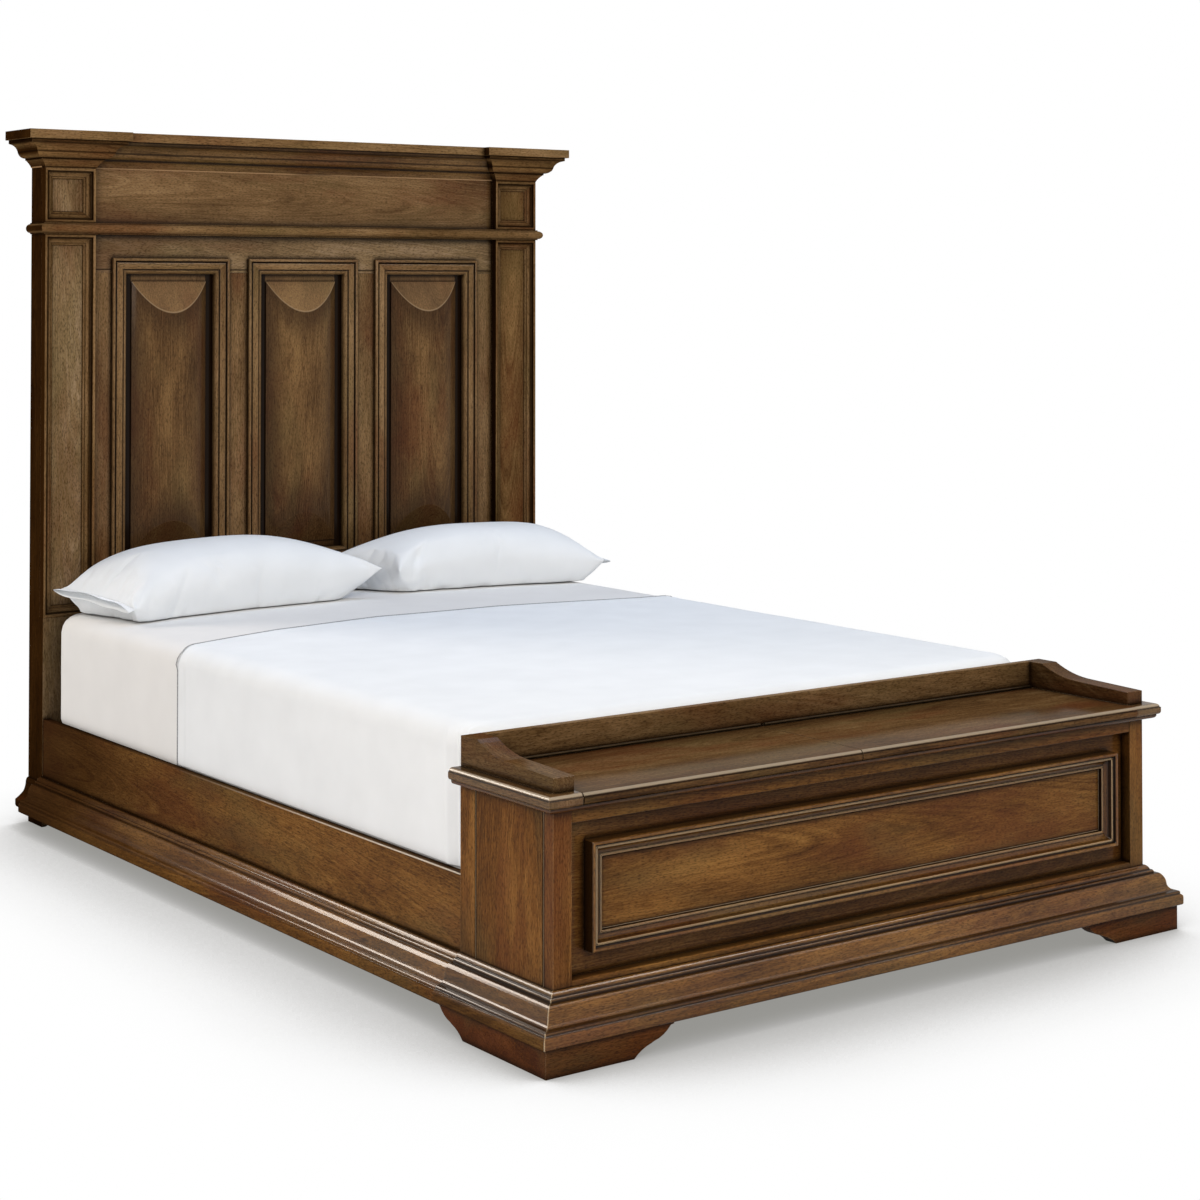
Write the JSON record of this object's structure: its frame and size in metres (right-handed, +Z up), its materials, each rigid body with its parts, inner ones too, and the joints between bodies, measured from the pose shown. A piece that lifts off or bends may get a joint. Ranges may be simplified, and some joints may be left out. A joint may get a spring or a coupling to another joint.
{
  "type": "bed with blanket chest footboard",
  "caption": "Panelled bed with a tall corniced headboard and a low blanket chest with a gallery as its footboard, whose lids lift on piano hinges.",
  "frame": {"origin": "on the floor, under the middle of the bed's bounding box", "axes": "+Y along the bed towards the headboard, +X to the right seen from the foot, +Z up"},
  "size_m": [1.724, 2.529, 1.837],
  "materials": {
    "walnut": "satin lacquer over a mid brown stain with dark glaze in the corners",
    "walnut_dark": "satin lacquer over a dark brown stain",
    "walnut_light": "satin lacquer over a mid brown stain, rubbed lighter on the edges",
    "pine": "plain sanded softwood",
    "steel": "dark bronze plate, dulled",
    "black_rubber": "matt",
    "linen": "smooth white percale"
  },
  "bodies": {
    "bed": {"headboard_post_left": "walnut", "headboard_post_right": "walnut", "pilaster_mouldings": "walnut_light", "headboard_frieze": "walnut", "headboard_top_rail": "walnut", "headboard_stiles": "walnut", "headboard_mullions": "walnut", "headboard_bottom_rail": "walnut", "panel_left": "walnut_light", "panel_centre": "walnut_light", "panel_right": "walnut_light", "panel_mouldings": "walnut_light", "astragal": "walnut_light", "crown_ends": "walnut", "crown_centre": "walnut", "crown_cap": "walnut", "headboard_base_mouldings": "walnut_dark", "side_rail_left": "walnut", "side_rail_right": "walnut", "rail_moulding_left": "walnut", "rail_moulding_right": "walnut", "slat_cleats": "pine", "rail_hook_plates": "steel", "post_slot_plates": "steel", "slats": "pine", "centre_beam": "pine", "beam_brackets": "steel", "centre_legs": "pine", "leg_glides": "black_rubber", "chest_front_posts": "walnut", "chest_back_posts": "walnut", "chest_side_left": "walnut", "chest_side_right": "walnut", "chest_front_rails": "walnut", "chest_front_field": "walnut_dark", "chest_front_moulding": "walnut_light", "chest_front_panel": "walnut", "chest_back": "walnut_dark", "chest_floor": "pine", "chest_divider": "pine", "base_moulding_front": "walnut_dark", "base_mouldings_side": "walnut_dark", "bracket_foot_left": "walnut_dark", "bracket_foot_right": "walnut_dark", "under_top_moulding": "walnut_dark", "top_end_strips": "walnut", "top_back_strip": "walnut", "gallery_back": "walnut", "gallery_sides": "walnut", "lid_bumpers": "black_rubber", "hinge_fixed_leaves": "steel", "hinge_pins": "steel", "mattress": "linen", "top_sheet": "linen", "pillow_left": "linen", "pillow_right": "linen"},
    "lid_left": {"lid_left": "walnut", "hinge_leaf_left": "steel"},
    "lid_right": {"lid_right": "walnut", "hinge_leaf_right": "steel"}
  },
  "joints": [
    {"name": "left_lid_hinge", "type": "hinge", "parent": "bed", "child": "lid_left", "pos_m": [-0.407, -0.9155, 0.5004], "axis": [-1, 0, 0], "range_deg": [0, 100]},
    {"name": "right_lid_hinge", "type": "hinge", "parent": "bed", "child": "lid_right", "pos_m": [0.343, -0.9155, 0.5004], "axis": [-1, 0, 0], "range_deg": [0, 100]}
  ]
}
